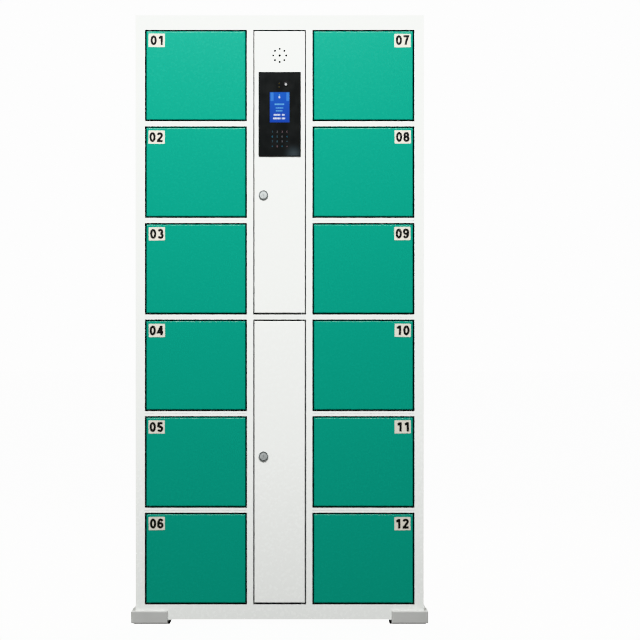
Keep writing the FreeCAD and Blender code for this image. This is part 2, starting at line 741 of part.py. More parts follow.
def speaker():
    """Basket and magnet against the inner face of the door."""
    return turned("speaker", (0, "door_sheet - half_depth", "upper_head - speaker_drop"), (
        (0, "speaker_depth / 4"), ("speaker_diameter / 3", 0), ("speaker_diameter / 2", 0),
        ("speaker_diameter / 2", "speaker_depth / 7"), ("magnet_diameter / 2", "speaker_depth / 2"),
        ("magnet_diameter / 2", "speaker_depth"), (0, "speaker_depth")))


def lock_barrel(label, centre):
    """Rosette with a dished face, and the barrel that the plug turns in."""
    bore = "plug_diameter / 2"
    return turned(label, centre, (
        (bore, "dish_depth - rosette_thick"), ("dish_diameter / 2", "dish_depth - rosette_thick"),
        ("dish_diameter / 2 + dish_depth", "-rosette_thick"), ("rosette_diameter / 2 - dish_depth", "-rosette_thick"),
        ("rosette_diameter / 2", "dish_depth - rosette_thick"), ("rosette_diameter / 2", 0),
        ("barrel_diameter / 2", 0), ("barrel_diameter / 2", "barrel_length"), (bore, "barrel_length")))


def lock_plug(label, centre):
    """Keyed plug that turns in the barrel, with the cam on its back end, pointing down when unlocked."""
    body = new_body(label, centre)
    front = "(rosette_thick - dish_depth + plug_proud)"
    shank = new_sketch(body, "XZ_Plane")
    circle(shank, (0, 0), "plug_diameter / 2 - pin_clearance")
    pad(body, shank, front)
    back = new_sketch(body, "XZ_Plane")
    circle(back, (0, 0), "plug_diameter / 2 - pin_clearance")
    pad(body, back, "barrel_length + 1", flip=True)
    cam = new_sketch(body, "XZ_Plane", (0, 0, "-barrel_length - 1"))
    half = "cam_width / 2"
    rectangle(cam, (f"-{half}", f"-cam_length"), (half, half))
    pad(body, cam, "cam_thick", flip=True)
    keyway = new_sketch(body, "XZ_Plane", (0, 0, f"{front} - keyway_depth"))
    rectangle(keyway, ("-keyway_width / 2", "-keyway_height / 2"), ("keyway_width / 2", "keyway_height / 2"))
    pocket(body, keyway, flip=True)
    return body


# ---- electronics in the service column -------------------------------------------------------

def controller_board():
    """Board on four standoffs, with a relay for each compartment lock and a processor."""
    foot_level = "(upper_floor + controller_rise)"
    left = "(-controller_width / 2)"
    face = "(controller_face - board_thick)"
    pieces = [plate("controller", (left, face, foot_level), ("controller_width", "board_thick", "controller_height"))]
    for column in (-1, 1):
        for end in (-1, 1):
            standoff = rod(f"standoff_{column}_{end}", (
                f"{column} * (controller_width / 2 - standoff_diameter)", "back_face",
                f"{foot_level} + controller_height / 2 + {end} * (controller_height / 2 - standoff_diameter)"),
                "standoff_diameter / 2", "standoff_height")
            standoff.Placement.Rotation = FreeCAD.Rotation(FreeCAD.Vector(1, 0, 0), 90)
            pieces.append(standoff)
        for row in range(ROWS):
            pieces.append(plate(f"relay_{column}_{row}", (
                f"{column} * 2 * relay_width - relay_width / 2", f"{face} - relay_depth",
                f"{foot_level} + relay_height + {row} * 1.25 * relay_height"),
                ("relay_width", "relay_depth", "relay_height")))
    return group("controller_board", pieces)


def power_supply():
    """Metal case on the back panel, and the gland that brings the supply cable in."""
    case = plate("supply_case", ("-supply_width / 2", "back_face - supply_depth", "upper_floor + supply_rise"),
                 ("supply_width", "supply_depth", "supply_height"))
    gland = turned("cable_gland", (0, "half_depth", "floor_gap + gland_rise"), (
        ("gland_diameter / 4", "-gland_diameter"), ("gland_diameter / 2 - 0.1", "-gland_diameter"),
        ("gland_diameter / 2 - 0.1", 0), ("gland_flange / 2", 0), ("gland_flange / 2", "sheet"),
        ("gland_diameter / 4", "sheet")))
    return group("power_supply", [case, gland])


# ---- the whole locker ------------------------------------------------------------------------

def build_shell():
    pairs = (
        ("side_panel", side_panel()),
        ("partition", plate("partition_left", ("-inner_edge", "jamb_depth - half_depth", "first_floor"), (
            "sheet", "front_to_back - jamb_depth", "shell_height - bottom_rail"))),
        ("stile_outer", outer_stile()),
        ("stile_inner", inner_stile()),
        ("shelves", shelves()),
    )
    for name, left in pairs:
        keep(left, name + "_left")
        keep(mirrored(name + "_right", left), name + "_right")
    keep(back_panel(), "back_panel")
    keep(lid(), "top_panel")
    keep(plate("base_panel", ("sheet - half_width", "jamb_depth - half_depth", "first_floor - sheet"), (
        "shell_inside", "front_to_back - jamb_depth", "sheet")), "base_panel")
    keep(rail("bottom_rail", "floor_gap", "bottom_rail"), "bottom_rail")
    keep(rail("top_rail", "floor_gap + body_height - top_rail", "(top_rail - sheet)"), "top_rail")
    keep(centre_shelf(), "centre_shelf")


def build_feet():
    front = keep(foot(), "foot_front_left")
    keep(mirrored("foot_front_right", front), "foot_front_right")
    rear = keep(mirrored("foot_rear_left", front, (0, 1, 0)), "foot_rear_left")
    keep(mirrored("foot_rear_right", rear), "foot_rear_right")


def build_compartments():
    keep(hinge_pins(), "hinge_pins")
    cases = keep(group("lock_cases_left", [lock_case(row) for row in range(ROWS)]), "lock_cases_left")
    keep(mirrored("lock_cases_right", cases), "lock_cases_right")
    for row, (number, other) in enumerate(zip(reversed(COLUMN_DOORS), reversed(MIRRORED_DOORS))):
        door = keep(compartment_door(number, row), f"door_{number}")
        keep(mirrored(f"door_{other}", door), f"door_{other}")
        lever = keep(latch(number, row), f"latch_{number}")
        keep(mirrored(f"latch_{other}", lever), f"latch_{other}")


def build_service_column():
    for which, foot_level, lock_rise in (
            ("upper", "upper_floor", "upper_lock_rise"), ("lower", "first_floor", "lower_lock_rise")):
        pan, pieces = service_door(which, foot_level, lock_rise)
        if which == "upper":
            open_electronics_front(pan)
        keep(group(f"service_door_{which}", pieces), f"service_door_{which}")
        centre = ("-lock_across", "-half_depth", f"{foot_level} + {lock_rise}")
        keep(lock_barrel(f"lock_barrel_{which}", centre), f"lock_barrel_{which}")
        keep(lock_plug(f"lock_plug_{which}", centre), f"lock_plug_{which}")
    keep(touch_panel(), "touch_panel")
    keep(display(), "display")
    keep(camera(), "camera")
    keep(plate("keypad_board", ("-keypad_width / 2", "-half_depth", "panel_top - keypad_drop - keypad_height"), (
        "keypad_width", "board_thick", "keypad_height")), "keypad_board")
    keep(speaker(), "speaker")
    keep(controller_board(), "controller_board")
    keep(power_supply(), "power_supply")


def idle_cuts():
    """Pockets that took nothing away."""
    cuts = [item for item in doc.Objects if item.TypeId == "PartDesign::Pocket"]
    return [cut.Label for cut in cuts if cut.Shape.Volume > cut.BaseFeature.Shape.Volume - 1e-3]


def check_and_write():
    """Stop on any failed object or shape, then write every sub-part to its own file."""
    doc.recompute()
    failed = [item.Label for item in doc.Objects if {"Invalid", "Error"} & set(item.State)]
    failed += idle_cuts()
    failed += [item.Label for item in nodes if item.Shape.isNull() or not item.Shape.isValid()]
    if failed:
        raise RuntimeError("failed: " + ", ".join(failed))
    os.makedirs("parts", exist_ok=True)
    for item in nodes:
        item.Shape.exportStep(f"parts/{item.Label}.step")
    print(len(nodes), "sub-parts,", sum(len(item.Shape.Solids) for item in nodes), "solids")


build_shell()
build_feet()
build_compartments()
build_service_column()
check_and_write()
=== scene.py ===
import math

import bpy
import numpy as np
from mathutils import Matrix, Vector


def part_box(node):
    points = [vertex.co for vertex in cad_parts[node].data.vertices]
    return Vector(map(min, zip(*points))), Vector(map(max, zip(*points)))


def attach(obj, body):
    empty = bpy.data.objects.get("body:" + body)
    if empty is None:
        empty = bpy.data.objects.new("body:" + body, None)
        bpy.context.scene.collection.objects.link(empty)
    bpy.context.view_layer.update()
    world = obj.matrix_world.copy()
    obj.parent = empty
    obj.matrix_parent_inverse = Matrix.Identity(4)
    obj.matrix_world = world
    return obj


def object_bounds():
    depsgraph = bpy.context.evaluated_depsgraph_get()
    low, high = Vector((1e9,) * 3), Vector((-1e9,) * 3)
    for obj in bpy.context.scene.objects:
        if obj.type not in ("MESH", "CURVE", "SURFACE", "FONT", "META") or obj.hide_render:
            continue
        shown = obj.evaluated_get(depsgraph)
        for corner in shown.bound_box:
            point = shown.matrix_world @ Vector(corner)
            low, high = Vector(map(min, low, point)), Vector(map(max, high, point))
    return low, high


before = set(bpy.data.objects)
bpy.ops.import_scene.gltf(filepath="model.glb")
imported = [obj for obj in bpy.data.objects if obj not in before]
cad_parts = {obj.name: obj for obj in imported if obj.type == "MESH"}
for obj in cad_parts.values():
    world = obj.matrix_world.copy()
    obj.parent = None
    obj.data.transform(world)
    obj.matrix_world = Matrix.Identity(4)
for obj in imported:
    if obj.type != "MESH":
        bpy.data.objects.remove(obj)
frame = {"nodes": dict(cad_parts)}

bl_info = {
    "name": "Parcel locker",
    "version": (1, 0, 0),
    "blender": (4, 5, 0),
    "location": "View3D > Sidebar > Locker",
    "description": "Finishes, labels, touch screen and studio for a steel parcel locker",
    "category": "Object",
}

MM = 0.001
CAD_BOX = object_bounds()
DOORS = [f"door_{number:02d}" for number in range(1, 13)]
SIDES = ("left", "right")
# The face frame's front.
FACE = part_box("stile_inner_left")[0][1]
# A label from its door's outer edge and from its head, its thickness, and the radius of its corners.
LABEL_INSET = 6.5 * MM
LABEL_DROP = 7.6 * MM
LABEL_THICK = 0.5 * MM
LABEL_CORNER = 1.5 * MM
# How far out of place in millimetres, and of true in degrees, a label may be stuck on by hand.
STUCK_OFF = 0.6
STUCK_LEAN = 1.0
# A number's stroke in heights of the number, and how far it is drawn out sideways.
NUMERAL_WEIGHT = 0.24
NUMERAL_SPREAD = 1.12
# The display module reaches this far past the glass's window on every side.
SCREEN_RIM = 6 * MM
# Shares of the window's width and height, counted from its top left: two side bands, and the figure's middle.
SCREEN_BANDS = ((0.04, 0.01, 0.19, 0.29), (0.84, 0.01, 0.98, 0.29))
SCREEN_FIGURE = (0.485, 0.14)
# Each line of dashes: its runs from left to right, its top and bottom, and 0 for ice blue or 1 for white.
SCREEN_LINES = (
    (((0.245, 0.755),), 0.375, 0.425, 0),
    (((0.30, 0.68),), 0.505, 0.54, 0),
    (((0.31, 0.64),), 0.60, 0.635, 0),
    (((0.20, 0.53), (0.62, 0.77)), 0.725, 0.775, 1),
    (((0.17, 0.54), (0.61, 0.77)), 0.84, 0.895, 1))
# Shares of the window's width again: the range of a dash's length, the least one, and the gap between two.
DASH_LENGTHS = (0.035, 0.085)
SHORTEST_DASH = 0.02
DASH_GAP = 0.012
# Spacing of the keys, head of the glass to the top row, and each key's sign and the number of its ink.
KEY_STEP_ACROSS = 14.95 * MM
KEY_STEP_UP = 14.7 * MM
KEY_DROP = 182.5 * MM
KEY_SIGNS = "123C456<789^+0=v"
KEY_INKS = (0, 2, 3, 3, 1, 0, 2, 1, 0, 0, 2, 0, 1, 3, 1, 3)
# Slit round a parcel door and over and under a service door, and beside a service door.
DOOR_GAP = 5 * MM
SERVICE_GAP = 3.5 * MM
# From the face back to a door's strike, from the ground to the top of a rubber pad, and a lock dish's radius.
DOOR_BACK = 18.5 * MM
PAD_TOP = 2 * MM
LOCK_DISH = 10.5 * MM
# Head of the glass to the middle of each indicator lamp, and how far the lamps lie from the cabinet's middle.
LAMP_DROPS = (35.7 * MM, 46.6 * MM)
LAMP_ACROSS = -1.4 * MM
# Rings of the camera's bezel in millimetres: radius, and y from the glass's face, where less is further out.
BEZEL = ((6.0, 0), (6.0, -0.5), (5.4, -0.8), (4.2, -0.8), (4.0, -0.3))
# Rivets: edge of the back panel to the rows of rivets, and the number in each.
RIVET_EDGE_UP, RIVETS_UP = 20 * MM, 10
RIVET_EDGE_ACROSS, RIVETS_ACROSS = 12 * MM, 7
# A cap's last ring lies at this share of the quarter turn to its crown, and is closed flat.
CROWN = 0.94
# Each light: where it stands, the point that it faces, its width and height, and its setting and share of it.
LIGHTS = {
    "key_light": ((-0.3, -2.7, 3.4), (0, -0.23, 1.4), (2.0, 1.2), "key", 1.0),
    "right_fill": ((4.5, 0.6, 1.6), (0.4, 0.2, 0.9), (2.5, 2.5), "fill", 1.0),
    "left_fill": ((-4.5, 0.6, 1.6), (-0.4, 0.2, 0.9), (2.5, 2.5), "fill", 1.0),
    "back_light": ((0.8, 3.6, 2.8), (0, 0.2, 1.0), (2.4, 1.6), "fill", 1.4),
}
# The camera stands this far to the right of the cabinet's middle, and this much lower.
CAMERA_ACROSS = 122.8 * MM
CAMERA_UNDER = 1.5 * MM
# Half the floor's width in metres, and the strengths of the floor's and the sky's glow to the camera.
FLOOR_REACH = 40.0
FLOOR_GLOW = 3.0
SKY_GLOW = 4.0


def linear(code):
    """An sRGB hex colour as linear RGBA."""
    parts = [int(code[start:start + 2], 16) / 255 for start in (1, 3, 5)]
    return [c / 12.92 if c <= 0.04045 else ((c + 0.055) / 1.055) ** 2.4 for c in parts] + [1.0]


class LockerPaint(bpy.types.PropertyGroup):
    """Colours of the painted and moulded parts."""

    frame: bpy.props.FloatVectorProperty(
        name="Frame", description="Powder coat on the cabinet", subtype="COLOR", size=4, min=0, max=1,
        default=linear("#F3F5F2"))
    doors: bpy.props.FloatVectorProperty(
        name="Doors", description="Powder coat on the parcel doors", subtype="COLOR", size=4, min=0, max=1,
        default=linear("#13937C"))
    feet: bpy.props.FloatVectorProperty(
        name="Feet", description="Moulded corner feet", subtype="COLOR", size=4, min=0, max=1,
        default=linear("#C4C5C2"))


class LockerSizes(bpy.types.PropertyGroup):
    """Sizes of the printed and stuck-on parts."""

    label_width: bpy.props.FloatProperty(
        name="Label width", description="Number label, across", default=49.6 * MM, unit="LENGTH")
    label_height: bpy.props.FloatProperty(
        name="Label height", description="Number label, upright", default=40.6 * MM, unit="LENGTH")
    numeral: bpy.props.FloatProperty(
        name="Numeral", description="Height of a door's number", default=29 * MM, unit="LENGTH")
    glyph: bpy.props.FloatProperty(
        name="Glyph", description="Height of a keypad sign", default=6.5 * MM, unit="LENGTH")


class LockerStudio(bpy.types.PropertyGroup):
    """Light and camera."""

    lens: bpy.props.FloatProperty(
        name="Lens", description="Camera focal length in millimetres", default=150)
    distance: bpy.props.FloatProperty(
        name="Distance", description="Camera to the object's middle", default=8.35, unit="LENGTH")
    key: bpy.props.FloatProperty(
        name="Key light", description="Strength of the large light in front", default=176, unit="POWER")
    fill: bpy.props.FloatProperty(
        name="Fill lights", description="Strength of each light on the sides and back", default=90,
        unit="POWER")
    ambient: bpy.props.FloatProperty(
        name="Ambient", description="Strength of the surrounding light", default=0.25)


# Materials.

def add(tree, kind, inputs=None, **settings):
    """Adds a node with its settings; each input named or numbered gets a value or a link."""
    node = tree.nodes.new("ShaderNode" + kind)
    for key, value in settings.items():
        setattr(node, key, value)
    for key, value in (inputs or {}).items():
        if isinstance(value, bpy.types.NodeSocket):
            tree.links.new(value, node.inputs[key])
        else:
            node.inputs[key].default_value = value
    return node


def new_material(name):
    """A material with an empty tree, and the object's own coordinates in metres."""
    material = bpy.data.materials.new(name)
    material.use_nodes = True
    tree = material.node_tree
    tree.nodes.clear()
    return material, tree, add(tree, "TexCoord").outputs["Object"]


def noise(tree, place, size, detail=2.0):
    """Noise whose blotches are size metres across, its middle three fifths spread smoothly over 0 to 1."""
    blotch = add(tree, "TexNoise", {"Vector": place, "Scale": 1 / size, "Detail": detail})
    spread = {0: blotch.outputs["Fac"], 1: 0.2, 2: 0.8}
    return add(tree, "MapRange", spread, interpolation_type="SMOOTHERSTEP").outputs[0]


def between(tree, share, first, second):
    """Two colours mixed by share."""
    return add(tree, "Mix", {0: share, 6: first, 7: second}, data_type="RGBA").outputs[2]


def relief(tree, height, depth, strength):
    """Bump of that depth in metres, at that share of its full strength."""
    return add(tree, "Bump", {"Height": height, "Distance": depth, "Strength": strength}).outputs[0]


def surface(tree, **inputs):
    """Joins a Principled shader with these inputs to the output; underscores stand for spaces."""
    shader = add(tree, "BsdfPrincipled", {key.replace("_", " "): value for key, value in inputs.items()})
    add(tree, "OutputMaterial", {"Surface": shader.outputs[0]})


def shaded(colour, factor):
    """The same colour, lighter or darker."""
    return [min(1.0, part * factor) for part in list(colour)[:3]] + [1.0]


def powder_coat(name, colour):
    """Polyester powder coat, sprayed and baked: even colour, low sheen, orange peel in the gloss."""
    material, tree, place = new_material(name)
    # The film is a little thicker here and there, which shows as a fine change of tone and of gloss.
    film = noise(tree, place, 9 * MM, 4.0)
    # Real orange peel is about 2 mm across; 5 mm is the finest that shows on a whole cabinet.
    peel = add(tree, "TexNoise", {"Vector": place, "Scale": 1 / (5 * MM), "Detail": 1.0}).outputs["Fac"]
    surface(
        tree, Base_Color=between(tree, film, shaded(colour, 0.99), shaded(colour, 1.005)),
        Roughness=add(tree, "MapRange", {0: film, 3: 0.26, 4: 0.28}).outputs[0],
        IOR=1.5, Normal=relief(tree, peel, 0.12 * MM, 0.35))
    return material


def moulded_plastic(name, colour, grain=1.2 * MM, rough=0.5):
    """Injection-moulded ABS with a spark-eroded grain: fine, matt, a little darker in broad blotches."""
    material, tree, place = new_material(name)
    speck = noise(tree, place, grain, 3.0)
    surface(
        tree, Base_Color=between(tree, noise(tree, place, 60 * MM), shaded(colour, 0.94), colour),
        Roughness=rough, IOR=1.5, Normal=relief(tree, speck, 0.04 * MM, 0.4))
    return material


def zinc_plate(name):
    """Bright zinc-plated steel, tumbled: soft cloudy spangle on a grey metal."""
    material, tree, place = new_material(name)
    cells = add(tree, "TexVoronoi", {"Vector": place, "Scale": 1 / (6 * MM)}).outputs["Distance"]
    surface(
        tree, Base_Color=between(tree, cells, linear("#C9CBCC"), linear("#A7ABAE")), Metallic=1.0,
        Roughness=add(tree, "MapRange", {0: noise(tree, place, 9 * MM), 3: 0.3, 4: 0.45}).outputs[0])
    return material


def plated_lock(name, colour, smoothest, roughest):
    """Die-cast zinc under nickel plate: bright grey metal, blurred by tumbling before it was plated."""
    material, tree, place = new_material(name)
    clouds = {0: noise(tree, place, 4 * MM), 3: smoothest, 4: roughest}
    surface(
        tree, Base_Color=colour, Metallic=1.0, Roughness=add(tree, "MapRange", clouds).outputs[0])
    return material


def black_glass(name, glint_spot=(0, 0, 0), reach=1 * MM):
    """Touch glass over a black film: smooth and deep black, with handling haze, and a painted reflection
    that greys it near one spot."""
    material, tree, place = new_material(name)
    haze = noise(tree, place, 30 * MM)
    # Painted reflection: the colour turns grey towards the glint spot and fades out within reach.
    away = add(tree, "VectorMath", {0: place, 1: glint_spot}, operation="DISTANCE").outputs["Value"]
    painted_glint = add(tree, "MapRange", {0: away, 1: reach, 2: 0.0}, interpolation_type="SMOOTHSTEP").outputs[0]
    film = between(tree, haze, linear("#222323"), linear("#262727"))
    surface(
        tree, Base_Color=between(tree, painted_glint, film, linear("#3D4346")),
        Roughness=add(tree, "MapRange", {0: haze, 3: 0.16, 4: 0.22}).outputs[0], IOR=1.5)
    return material


def lit_screen(name, low, high):
    """Backlit liquid-crystal picture: blue, brighter at its top, under fine rows of dots."""
    material, tree, place = new_material(name)
    parts = add(tree, "SeparateXYZ", {0: place})
    rise = add(tree, "MapRange", {0: parts.outputs["Z"], 1: low, 2: high}).outputs[0]
    glow = between(tree, rise, linear("#2F4EB4"), linear("#3468CC"))
    # Real rows of dots are 0.2 mm apart, too fine to show. A wave's bands lie 0.31 of a scale unit apart,
    # here 3.1 mm.
    rows = add(tree, "TexWave", {"Vector": place, "Scale": 1 / (10 * MM)}, bands_direction="Z").outputs["Fac"]
    dimmed = add(tree, "MapRange", {0: rows, 3: 0.0, 4: 0.08}).outputs[0]
    picture = between(tree, dimmed, glow, linear("#2A429A"))
    surface(tree, Base_Color=linear("#05070C"), Roughness=0.2, Emission_Color=picture, Emission_Strength=1.0)
    return material


def lit_print(name, colour, strength=1.0):
    """A bright patch of the backlit picture, a lamp behind a clear lens, or a painted highlight on a camera
    lens: even glow with a soft mottle.
    """
    material, tree, place = new_material(name)
    mottle = noise(tree, place, 3 * MM)
    surface(
        tree, Base_Color=linear("#0A0A0A"), Roughness=0.25, Emission_Strength=strength,
        Emission_Color=between(tree, mottle, shaded(colour, 0.9), colour))
    return material


def circuit_board(name, colour):
    """Glass-epoxy board under solder mask: satin, with copper tracks showing through as a paler web."""
    material, tree, place = new_material(name)
    # Its upright lines lie half a scale unit apart, 12 mm: coarser than real tracks, so that they show.
    tracks = add(tree, "TexBrick", {
        "Vector": place, "Scale": 1 / (24 * MM), "Mortar Size": 0.03, "Color1": colour,
        "Color2": shaded(colour, 0.8), "Mortar": shaded(colour, 1.8)})
    surface(tree, Base_Color=tracks.outputs["Color"], Roughness=0.35, IOR=1.5)
    return material


def printed_vinyl(name, colour):
    """Printed vinyl sticker: warm white, matt, faintly uneven where it was pressed down."""
    material, tree, place = new_material(name)
    press = noise(tree, place, 12 * MM)
    surface(
        tree, Base_Color=between(tree, press, shaded(colour, 0.95), colour), Roughness=0.45, IOR=1.46,
        Normal=relief(tree, press, 0.1 * MM, 0.3))
    return material


# Surfaces. Fronts face -Y, so an outline runs counterclockwise as (across, up) seen from the front.

def round_outline(width, height, corner, steps=5):
    """Rectangle with round corners: at each of four centres, a quarter circle of radius corner."""
    angle = (np.arange(4)[:, None] * math.pi / 2 + np.linspace(0, math.pi / 2, steps)).ravel()
    across = np.repeat([1, -1, -1, 1], steps) * (width / 2 - corner)
    up = np.repeat([1, 1, -1, -1], steps) * (height / 2 - corner)
    return np.stack([across + corner * np.cos(angle), up + corner * np.sin(angle)], 1)


def circle_outline(radius, steps=24):
    """Points at radius (cos, sin) of even angles."""
    angle = np.arange(steps) * 2 * math.pi / steps
    return radius * np.stack([np.cos(angle), np.sin(angle)], 1)


def shell(rings, at, hoop=False):
    """Closed shell through (outline, y) rings moved to a point: quads between neighbours, and a cap on each
    end or, in a hoop, quads from the last ring to the first."""
    count = len(rings[0][0])
    points = np.concatenate([
        np.stack([ring[:, 0] + at[0], np.full(count, y + at[1]), ring[:, 1] + at[2]], 1)
        for ring, y in rings])
    here = np.arange(count)
    following = np.roll(here, -1)
    last = (len(rings) - 1) * count
    levels = np.arange(len(rings) - (not hoop))[:, None] * count
    onward = (levels + count) % (last + count)
    quads = np.stack([here + levels, following + levels, following + onward, here + onward], 2).reshape(-1, 4)
    caps = [] if hoop else [here[::-1].tolist(), (here + last).tolist()]
    return points, quads.tolist() + caps


def sheet_tile(width, height, thick, corner, at):
    """Thin tile with a broken front edge: its front outline is drawn in by a third of the thickness."""
    edge = thick / 3
    full = round_outline(width, height, corner)
    drawn = round_outline(width - 2 * edge, height - 2 * edge, max(corner - edge, corner / 2))
    return shell([(full, 0), (full, edge - thick), (drawn, -thick)], at)


def lining(low, high, thick, front, back):
    """Square-edged strip inside a rectangle from low to high (across, up), from y front to y back: the
    rectangle's outline and one drawn in by the thickness, joined as a hoop."""
    corner = 0.6 * MM
    size = np.subtract(high, low)
    outer = round_outline(*size, corner, 2)
    inner = round_outline(*(size - 2 * thick), corner, 2)
    middle = np.add(low, high) / 2
    rings = [(outer, back), (outer, front), (inner, front), (inner, back)]
    return shell(rings, (middle[0], 0, middle[1]), hoop=True)


def dome(radius, height, at, rings=5, steps=24):
    """Cap standing out to the front: at turn t from rim to crown the radius is cos t and the height sin t of
    its full value."""
    turn = np.linspace(0, math.pi / 2 * CROWN, rings)
    return shell([(circle_outline(radius * math.cos(t), steps), -height * math.sin(t)) for t in turn], at)


def joined(parts):
    """Several (points, faces) shells as one, and which shell each face came from."""
    starts = np.cumsum([0] + [len(points) for points, _ in parts])
    faces = [[corner + start for corner in face] for start, (_, own) in zip(starts, parts) for face in own]
    source = np.repeat(np.arange(len(parts)), [len(own) for _, own in parts])
    return np.concatenate([points for points, _ in parts]), faces, source


def add_piece(name, parts, body, materials, kinds=None, smooth=False):
    """Makes one riding piece from shells; kinds gives each shell's material number."""
    points, faces, source = joined(parts)
    mesh = bpy.data.meshes.new(name)
    mesh.from_pydata(points, [], faces)
    for material in materials:
        mesh.materials.append(material)
    if kinds is not None:
        mesh.polygons.foreach_set("material_index", np.asarray(kinds, np.int32)[source])
    if smooth:
        mesh.shade_smooth()
        mesh.set_sharp_from_angle(angle=math.radians(40))
    piece = bpy.data.objects.new(name, mesh)
    bpy.context.scene.collection.objects.link(piece)
    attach(piece, body)


def turned_by(points, angle, about):
    """Points turned in the front plane about a point: across cos - up sin, and across sin + up cos."""
    cosine, sine = math.cos(angle), math.sin(angle)
    across, up = points[:, 0] - about[0], points[:, 2] - about[2]
    return np.stack([
        about[0] + cosine * across - sine * up, points[:, 1], about[2] + sine * across + cosine * up], 1)


def arc(across, up, wide, tall, first, last, steps=12):
    """Points of an ellipse about a centre, from one angle in degrees to another."""
    angle = np.radians(np.linspace(first, last, steps))
    return np.stack([across + wide * np.cos(angle), up + tall * np.sin(angle)], 1)


def line(*points):
    """Straight runs between points."""
    return np.array(points, float)


# Strokes of a six; a nine is the same, turned half round.
SIX = [arc(0.285, 0.315, 0.19, 0.22, 0, 360, 25),
       np.concatenate([arc(0.315, 0.5, 0.22, 0.405, 38, 180, 14), line((0.095, 0.32))])]
# Centre lines of each sign, in heights of the sign.
SIGNS = {
    "0": [arc(0.285, 0.5, 0.19, 0.405, 0, 360, 33)],
    "1": [line((0.36, 0), (0.36, 1)), line((0.08, 0.74), (0.2, 0.78), (0.3, 0.93))],
    "2": [np.concatenate([arc(0.285, 0.7, 0.19, 0.2, 172, -32), line((0.13, 0.14))]),
          line((0, 0.095), (0.57, 0.095))],
    "3": [arc(0.275, 0.71, 0.175, 0.195, 160, -90), arc(0.28, 0.3, 0.195, 0.205, 90, -160)],
    "4": [line((0.42, 0), (0.42, 1)), line((0.38, 0.93), (0.1, 0.31), (0.58, 0.31))],
    "5": [line((0.52, 0.905), (0.17, 0.905), (0.12, 0.47)), arc(0.28, 0.315, 0.2, 0.22, 128, -155)],
    "6": SIX,
    "7": [line((0.02, 0.905), (0.46, 0.905), (0.32, 0.5), (0.22, 0))],
    "8": [arc(0.285, 0.715, 0.165, 0.19, 0, 360, 25), arc(0.285, 0.3, 0.19, 0.205, 0, 360, 25)],
    "9": [(0.57, 1) - stroke for stroke in SIX],
    "C": [arc(0.3, 0.5, 0.21, 0.4, 50, 310, 16)],
    "^": [line((0.05, 0.35), (0.3, 0.75), (0.55, 0.35))],
    "v": [line((0.05, 0.7), (0.3, 0.3), (0.55, 0.7))],
    "<": [line((0.5, 0.8), (0.15, 0.5), (0.5, 0.2))],
    "+": [line((0.05, 0.5), (0.55, 0.5)), line((0.3, 0.25), (0.3, 0.75))],
    "=": [line((0.05, 0.65), (0.55, 0.65)), line((0.05, 0.35), (0.55, 0.35))],
}
# One sign's middle to the next, in heights of the sign.
ADVANCE = 0.68


def ribbon(path, width, thick, at):
    """Flat bar carried along a path: each point's edges stand half the width out along the mean normal,
    further at a corner by 1 over the cosine of half its turn, up to twice as far; a path that ends where it
    starts closes on itself."""
    closed = np.allclose(path[0], path[-1])
    path = path[:-1] if closed else path
    ahead = np.roll(path, -1, 0) - path
    ahead /= np.linalg.norm(ahead, axis=1)[:, None]
    behind = np.roll(ahead, 1, 0)
    if not closed:
        ahead[-1], behind[0] = behind[-1], ahead[0]
    mean = ahead + behind
    mean /= np.linalg.norm(mean, axis=1)[:, None]
    reach = width / 2 / np.maximum((mean * ahead).sum(1), 0.5)
    out = np.stack([-mean[:, 1], mean[:, 0]], 1) * reach[:, None]
    count = len(path)
    edges = [(path - out, -thick), (path + out, -thick), (path + out, 0), (path - out, 0)]
    points = np.concatenate([
        np.stack([edge[:, 0] + at[0], np.full(count, y + at[1]), edge[:, 1] + at[2]], 1)
        for edge, y in edges])
    here = np.arange(count if closed else count - 1)
    following = (here + 1) % count
    faces = []
    for first in range(4):
        own, other = first * count, (first + 1) % 4 * count
        faces += np.stack([here + own, following + own, following + other, here + other], 1).tolist()
    if not closed:
        ends = np.arange(4) * count
        faces += [ends.tolist(), (ends[::-1] + count - 1).tolist()]
    return points, faces


def figures(words, height, weight, thick, at, spread=1.0):
    """Signs set in a row and centred at a point, drawn out sideways by spread; each stroke is a hair thicker
    than the last, so that none share a face."""
    hair = 0.01 * MM
    strokes = [
        (stroke + (place * ADVANCE, 0)) * (spread * height, height)
        for place, sign in enumerate(words) for stroke in SIGNS[sign]]
    every = np.concatenate(strokes)
    middle = (every.min(0) + every.max(0)) / 2
    return [
        ribbon(stroke - middle, weight * height, thick + layer * hair, at)
        for layer, stroke in enumerate(strokes)]


def finish(node, material, *exceptions):
    """Gives a CAD node its material, and another to the faces whose middles pass each exception's test."""
    mesh = frame["nodes"][node].data
    mesh.materials.clear()
    mesh.materials.append(material)
    middles = np.empty(len(mesh.polygons) * 3, np.float32)
    mesh.polygons.foreach_get("center", middles)
    x, y, z = middles.reshape(-1, 3).T
    index = np.zeros(len(x), np.int32)
    for number, (other, chosen) in enumerate(exceptions, 1):
        mesh.materials.append(other)
        index[chosen(x, y, z)] = number
    mesh.polygons.foreach_set("material_index", index)


class LOCKER_OT_cabinet(bpy.types.Operator):
    """Powder coats the cabinet's sheet metal and the service doors"""

    bl_idname = "locker.cabinet"
    bl_label = "Cabinet finish"

    def execute(self, context):
        paint = powder_coat("white polyester powder coat", context.scene.locker_paint.frame)
        nodes = [f"{part}_{side}" for side in SIDES for part in (
            "side_panel", "partition", "stile_outer", "stile_inner", "shelves")]
        nodes += ["back_panel", "top_panel", "base_panel", "bottom_rail", "top_rail", "centre_shelf",
                  "service_door_upper", "service_door_lower"]
        for node in nodes:
            finish(node, paint)
        return {"FINISHED"}


